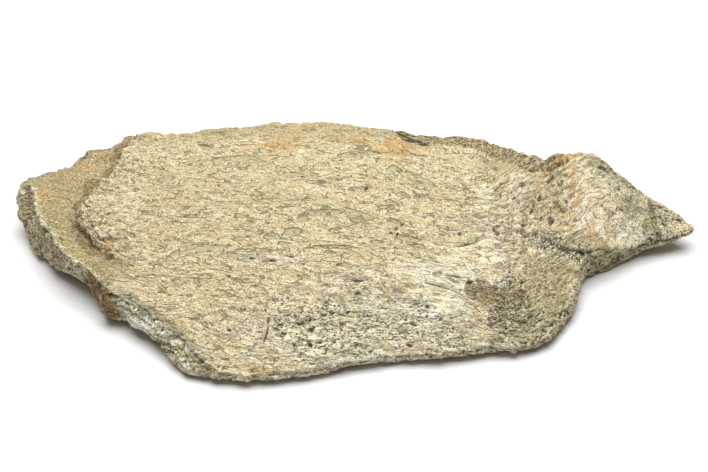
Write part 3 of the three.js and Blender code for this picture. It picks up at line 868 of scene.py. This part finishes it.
class Graph:
    """A material built from nodes in short calls."""

    def __init__(self, name):
        self.material = bpy.data.materials.new(name)
        self.material.use_nodes = True
        self.tree = self.material.node_tree
        self.tree.nodes.clear()

    def node(self, kind, inputs, **settings):
        """A new node with its settings and inputs filled in."""
        node = self.tree.nodes.new("ShaderNode" + kind)
        for name, value in settings.items():
            setattr(node, name, value)
        for name, value in inputs.items():
            if isinstance(value, Value):
                self.tree.links.new(value.socket, node.inputs[name])
            else:
                node.inputs[name].default_value = value
        return node

    def value(self, kind, inputs, output=0, **settings):
        return Value(self, self.node(kind, inputs, **settings).outputs[output])

    def math(self, operation, a, b):
        return self.value("Math", {0: a, 1: b}, operation=operation)

    def mix(self, factor, a, b):
        """Colour a turning into colour b as the factor goes from 0 to 1."""
        return self.value("Mix", {0: factor, 6: a, 7: b}, 2, data_type="RGBA")

    def attribute(self, name):
        return self.value("Attribute", {}, "Vector", attribute_name=name)

    def split(self, name):
        """The three numbers of a stored vector."""
        node = self.node("SeparateXYZ", {0: self.attribute(name)})
        return [Value(self, output) for output in node.outputs]

    def sized(self, vector, length, width, shift=0, height=None):
        """Fibre coordinates divided by a pattern's length, width and height."""
        return self.value("Mapping", {
            "Vector": vector,
            "Location": (shift, shift * 1.7, shift * 0.6),
            "Scale": (1 / length, 1 / width, 1 / (height or width)),
        })

    def wander(self, vector, size, amount):
        """Fibre coordinates shifted sideways by slow noise."""
        at = self.sized(vector, size * 2, size)
        shift = self.value("TexNoise", {"Vector": at, "Scale": 1, "Detail": 1}, "Color")
        reach = (amount, amount * 2, amount * 2)
        return self.value("VectorMath", {0: shift, 1: reach, 2: vector}, operation="MULTIPLY_ADD")

    def noise(self, vector, size, detail=2, roughness=0.5):
        at = self.sized(vector, *size)
        settings = {"Scale": 1, "Detail": detail, "Roughness": roughness}
        return self.value("TexNoise", {"Vector": at, **settings})

    def cell_distance(self, vector, size):
        """Distance from the nearest of many scattered points."""
        at = self.sized(vector, *size)
        return self.value("TexVoronoi", {"Vector": at, "Scale": 1}, "Distance")

    def coat(self, weight, paint):
        """Lays a colour over the bone."""
        self.bone = self.mix(weight, self.bone, paint)

    def larger(self, a, b):
        return self.math("MAXIMUM", a, b)

    def finish(self, shader):
        output = self.tree.nodes.new("ShaderNodeOutputMaterial")
        self.tree.links.new(shader.outputs[0], output.inputs["Surface"])


def colour(red, green, blue):
    """An sRGB colour given as 0 to 255, as the linear colour a shader takes."""
    def linear(value):
        value /= 255
        return value / 12.92 if value <= 0.04045 else ((value + 0.055) / 1.055) ** 2.4
    return (linear(red), linear(green), linear(blue), 1)


BONE_DARK = colour(166, 146, 102)
BONE_MID = colour(203, 188, 146)
BONE_PALE = colour(240, 230, 200)
WHITE = colour(236, 236, 220)
IRON = colour(186, 146, 88)
SAND = colour(160, 136, 90)
RUST = colour(188, 146, 82)
BROWN = colour(112, 88, 58)
OLIVE = colour(148, 135, 92)
GREY = colour(160, 156, 134)
MUD = colour(186, 178, 138)
LINE = colour(80, 70, 42)
PORE = colour(50, 42, 27)
ASH = colour(112, 108, 98)


def patterns(g):
    """The stored weights, 0 to 1, and noises that follow the fibres.

    Noises lie about 0.5, mostly between 0.35 and 0.65.
    """
    g.ochre, g.white, g.iron = g.split("tint_a")
    g.brown, g.olive, g.grey = g.split("tint_b")
    g.speckle, g.porous, g.crumbly = g.split("tint_c")
    g.face_olive, g.lump, g.streak = g.split("tint_d")
    g.mud, g.pore, g.hollow = g.split("marks")
    g.top, g.face, g.edge_light = g.split("faces")

    straight = g.attribute("fibre")
    slow = g.slow = g.wander(straight, 4, 1)
    at = g.at = g.wander(slow, 1.3, 0.16)
    g.patch = g.noise(slow, (7, 3.5, 5), 1)
    g.blotch = g.noise(at, (5, 2.6, 33), 3, 0.65)
    g.smear = g.noise(at, (5, 2.2, 47), 3, 0.65)
    g.broken = g.noise(slow, (3, 2.4, 39), 1)
    g.thread = g.noise(at, (3, 0.6), 2, 0.6)
    g.band = g.noise(at, (17, 1.3, 71), 2, 0.55)
    g.grit = g.noise(straight, (0.45, 0.32, 9), 1, 0.5)
    g.pepper = g.noise(straight, (0.85, 0.6, 61), 2, 0.7)
    g.mottle = g.noise(straight, (3.6, 2.6, 83), 3, 0.65)
    g.leaf = g.noise(at, (9, 2.6, 3), 1, 0.4)
    g.blade = g.noise(at, (4.6, 1.5, 15), 1, 0.4)

    spongy = g.porous * 0.6 + g.speckle * 0.8 + g.olive * 0.4
    spongy = spongy + g.face * 0.4 + g.crumbly * 0.15
    g.spongy = g.math("MINIMUM", spongy, 1)

    # pale or dark by fibre, 0 to 1 for most of the bone
    fibre = g.split("grain")[0]
    cloud = g.noise(slow, (14, 8), 2)
    hair = g.noise(at, (1.7, 0.34, 121), 1, 0.6)
    tone = fibre * 0.05 + g.porous * 0.42 + 0.42
    for noise, gain in ((g.thread, 0.8), (g.grit, 4.2), (g.band, 0.8),
                        (cloud, 0.4), (hair, 2.2)):
        tone = tone + (noise - 0.5) * gain
    g.tone = tone
    g.soft = tone.step(0, 1)


def ragged(weight, noise, level=0.4):
    """A soft weight turned into patches with broken edges."""
    patchy = weight + (noise - 0.5) * 1.3
    return patchy.step(level, level + 0.2) * weight.step(0, 0.25)


def lay_fibres(g):
    """Pale to dark bone by fibre, with faint broad bands."""
    g.bone = g.mix(g.tone.step(0, 0.55), BONE_DARK, BONE_MID)
    g.coat(g.tone.step(0.5, 1), BONE_PALE)
    g.coat(g.band.step(0.52, 0.66, 0, 0.35), IRON)
    g.coat(g.band.step(0.46, 0.34, 0, 0.4), MUD)
    g.coat(g.blotch.step(0.55, 0.66, 0, 0.4), IRON)
    g.coat(g.smear.step(0.5, 0.62, 0, 0.2), MUD)


def ledge_colour(g):
    """Ochre and olive stained bone with fine dark and pale grains."""
    stained = g.mix(g.mottle.step(0.44, 0.56), OLIVE, SAND)
    coats = (
        (g.mottle.step(0.56, 0.66, 0, 0.7), IRON),
        (g.smear.step(0.5, 0.62, 0, 0.45), BROWN),
        (ragged(g.iron, g.blotch, 0.5) * 0.7, RUST),
        (g.grit.step(0.46, 0.64, 0, 0.75), BONE_MID),
        (g.grit.step(0.48, 0.34, 0, 0.6), BROWN),
        (g.pepper.step(0.43, 0.35, 0, 0.8), BROWN),
        (g.pepper.step(0.57, 0.66, 0, 0.5), BONE_PALE),
    )
    for weight, paint in coats:
        stained = g.mix(weight, stained, paint)
    return stained


def lay_stains(g):
    """Coloured patches, black-and-white grains and rust."""
    g.coat(g.ochre * 0.95, ledge_colour(g))
    milky = g.mix(g.mottle.step(0.4, 0.6), WHITE, BONE_PALE)
    milky = g.mix(g.tone.step(-0.15, 0.8), BONE_MID, milky)
    g.coat(ragged(g.white, g.blotch, 0.3) * 0.85, milky)
    g.coat(ragged(g.grey, g.smear) * 0.75, g.mix(g.soft, ASH, MUD))
    g.coat(ragged(g.olive, g.smear, 0.3) * 0.85, g.mix(g.soft, OLIVE, MUD))
    sandy = g.mix(g.mottle.step(0.45, 0.6), OLIVE, SAND)
    dirt = g.mix(g.pepper.step(0.44, 0.6), BROWN, sandy)
    g.coat(ragged(g.brown, g.smear, 0.35) * 0.9, dirt)

    pale_grains = g.mix(g.pepper.step(0.53, 0.64), GREY, WHITE)
    salt = g.mix(g.pepper.step(0.47, 0.54), LINE, pale_grains)
    g.coat(ragged(g.speckle, g.smear, 0.15) * (g.speckle * 0.85), salt)
    g.coat(g.smear.step(0.62, 0.66) * (g.porous * 0.6), salt)

    rusty = g.iron * (1 - g.ochre).clamped()
    rust = g.mix(g.grit.step(0.35, 0.6), IRON, RUST)
    streaky = g.band * 0.7 + g.blotch * 0.9 - 0.3
    g.coat(ragged(rusty, streaky, 0.6) * 0.7, rust)
    vein = g.noise(g.at, (5, 1.6, 101), 1, 0.5).line(0.5, 0.02, 0.08)
    g.coat(vein * (rusty * 0.9), rust)


def lay_broken_faces(g):
    """The broken faces: painted paler against their shade, rough, streaked and chipped, with a painted
    highlight along the rim and the brown lump.
    """
    # painted light: the steep broken faces are lightened towards pale bone to make up for their shade
    g.coat(g.face * 0.6, g.mix(g.soft, BONE_MID, BONE_PALE))

    rough = g.mix(g.smear.step(0.46, 0.56), BROWN, OLIVE)
    rough = g.mix(g.mottle.step(0.4, 0.34, 0, 0.3), rough, LINE)
    rough = g.mix(g.pepper.step(0.47, 0.58, 0, 0.85), rough, BONE_MID)
    g.coat(g.face_olive * 0.9, rough)

    layer = g.noise(g.slow, (14, 7, 91, 0.9), 2, 0.55)
    streaks = g.mix(layer.step(0.34, 0.42), LINE, MUD)
    streaks = g.mix(layer.step(0.46, 0.54), streaks, WHITE)
    g.coat(g.streak * g.mottle.step(0.3, 0.5, 0.5, 0.9), streaks)

    # painted highlight along the rim, broken by dark grains
    rim_highlight_colour = g.mix(g.mottle.step(0.4, 0.6), MUD, BONE_PALE)
    g.coat(g.edge_light * 0.7, g.mix(g.pepper.step(0.36, 0.5), LINE, rim_highlight_colour))
    g.coat(g.lump, g.mix(g.grit.step(0.38, 0.7), BROWN, SAND))


def lay_sediment(g):
    """Thin layers worn through in leaf shapes, and sediment in the channels."""
    leaf_low = g.leaf.step(0.43, 0.36) * g.patch.step(0.42, 0.55)
    blade_low = g.blade.step(0.41, 0.35) * g.patch.step(0.56, 0.44)
    g.low = g.larger(leaf_low, blade_low * 0.8)
    g.coat(g.low * 0.25, MUD)
    g.coat(g.mud.step(-0.02, 0.08) * 0.85, g.mix(g.soft, g.mix(0.5, OLIVE, MUD), MUD))


def lay_lines(g):
    """Painted highlights on the raised side of the thin layers' edges, and the dark edges of the layers,
    cracks and hair lines.
    """
    wisp = g.noise(g.at, (16, 1.5, 27), 0)
    across = g.noise(g.at, (2.6, 4, 51), 1, 0.4)
    folds = g.noise(g.at, (4, 1.7, 113), 2, 0.6)
    leafy = g.patch.step(0.46, 0.52)
    bladed = g.broken.step(0.51, 0.57)

    # painted highlight: a pale line on the raised side of each layer edge, where light catches it
    leaf_highlight = g.leaf.line(0.475, 0.012, 0.04) * leafy
    blade_highlight = g.blade.line(0.505, 0.02, 0.06) * bladed
    layered = (g.top - g.larger(g.ochre, g.crumbly)).clamped()
    g.coat(g.larger(leaf_highlight, blade_highlight) * 0.35 * layered, BONE_PALE)

    lines = g.mud.line(0.03, 0.05, 0.16) * g.broken.step(0.4, 0.5, 0.35, 1) * 0.75
    for line, weight in (
            (g.leaf.line(0.43, 0.012, 0.036) * leafy, 0.65),
            (g.blade.line(0.44, 0.02, 0.056) * bladed, 0.4),
            (wisp.line(0.5, 0.016, 0.05) * g.broken.step(0.5, 0.44), 0.6),
            (across.line(0.5, 0.01, 0.034) * g.broken.step(0.56, 0.62), 0.7)):
        lines = g.larger(lines, line * weight)
    lines = lines * (1 - (g.ochre * 0.45 + g.spongy * 0.4)).clamped()
    crease = folds.line(0.5, 0.015, 0.055) * g.porous * g.broken.step(0.44, 0.54)
    g.lines = g.larger(lines, crease * 0.8)
    g.coat(g.lines, LINE)


def lay_holes(g):
    """Grains of spongy bone, small pores, painted shade in hollows with a painted highlight on ridges,
    and the open holes.
    """
    rocky = (g.spongy.step(0, 0.7, 0.1, 1) - g.lump).clamped()
    lit = 0.65 - g.larger(g.brown, g.olive) * 0.55
    g.coat(g.pepper.step(0.55, 0.63) * (rocky * lit), WHITE)
    g.coat(g.pepper.step(0.445, 0.37) * rocky, LINE)

    from_middle = g.cell_distance(g.at, (1.5, 0.95, 7))
    clump = g.noise(g.slow, (6, 4, 3), 1).step(0.5, 0.62)
    crowded = (clump * 0.3 + g.spongy * 0.6).clamped()
    g.spots = from_middle.step(0.16, 0.27, 1, 0) * crowded
    g.coat(g.spots * 0.85, LINE)

    # painted shade in the hollows, then a painted highlight on the raised ridges
    g.coat(g.hollow.step(0.1, 1) * (g.spongy * 0.65 + 0.14), LINE)
    g.coat(g.hollow.step(-0.2, -1, 0, 0.3), BONE_PALE)
    g.coat(g.pore.step(-0.02, 0.2, 0, 0.7), PORE)


def bumps(g):
    """Fine relief below the size of the mesh."""
    height = g.thread * 0.6 + g.grit * 0.6 + g.pepper * (g.spongy * 1.2)
    height = height + g.lines * -0.7 + g.low * -0.3 + g.spots * -0.7
    return g.value("Bump", {"Strength": 1, "Distance": 0.4 * MM, "Height": height})


def bone_material():
    g = Graph("fossil_bone")
    for step in (patterns, lay_fibres, lay_stains, lay_broken_faces, lay_sediment, lay_lines,
                 lay_holes):
        step(g)
    g.finish(g.node("BsdfPrincipled", {
        "Base Color": g.bone,
        "Roughness": g.tone.step(0, 1, 0.95, 0.78),
        "Specular IOR Level": 0.25,
        "Normal": bumps(g),
    }))
    return g.material


# ---- studio
FLOOR_SIZE = 6  # metres
FLOOR_DROP = 0.0002  # keeps the floor clear of the slab's flat side
FLOOR_GREY = 0.8
WORLD_STRENGTH = 0.12
LAMP_PLACE = (-0.05, 0.2, 1.12)
LAMP_SIZE = 1.3
LAMP_POWER = 23.8
LOOK_AT = (0, 0.0064, 0.012)
LOOK_DOWN = math.radians(40)
CAMERA_DISTANCE = 0.67


def plain_floor():
    bpy.ops.mesh.primitive_plane_add(size=FLOOR_SIZE, location=(0, 0, -FLOOR_DROP))
    floor = bpy.context.object
    floor.name = "floor"
    pale = Graph("pale_floor")
    pale.finish(pale.node("BsdfDiffuse", {"Color": (FLOOR_GREY, FLOOR_GREY, FLOOR_GREY, 1)}))
    floor.data.materials.append(pale.material)


def studio():
    world = bpy.data.worlds.new("studio")
    world.use_nodes = True
    background = world.node_tree.nodes["Background"]
    background.inputs["Color"].default_value = (1, 1, 1, 1)
    background.inputs["Strength"].default_value = WORLD_STRENGTH
    bpy.context.scene.world = world
    bpy.context.scene.view_settings.view_transform = "Standard"

    lamp_data = bpy.data.lights.new("soft_top", "AREA")
    lamp_data.shape = "DISK"
    lamp_data.size = LAMP_SIZE
    lamp_data.energy = LAMP_POWER
    lamp = placed("soft_top", lamp_data)
    lamp.location = LAMP_PLACE
    towards_slab = -lamp.location
    lamp.rotation_euler = towards_slab.to_track_quat("-Z", "Y").to_euler()


def camera():
    data = bpy.data.cameras.new("camera")
    data.lens = 100
    data.sensor_width = 36
    data.clip_start = 0.05
    data.clip_end = 20
    cam = placed("camera", data)
    back = CAMERA_DISTANCE * math.cos(LOOK_DOWN)
    rise = CAMERA_DISTANCE * math.sin(LOOK_DOWN)
    cam.location = (LOOK_AT[0], LOOK_AT[1] - back, LOOK_AT[2] + rise)
    cam.rotation_euler = (math.pi / 2 - LOOK_DOWN, 0, 0)
    bpy.context.scene.camera = cam


bone = even_copy(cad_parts["frill_section"], "frill_bone")
carve(bone)
thin_out(bone)
bone.data.materials.append(bone_material())
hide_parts("frill_section")
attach(bone, "root")

plain_floor()
studio()
camera()
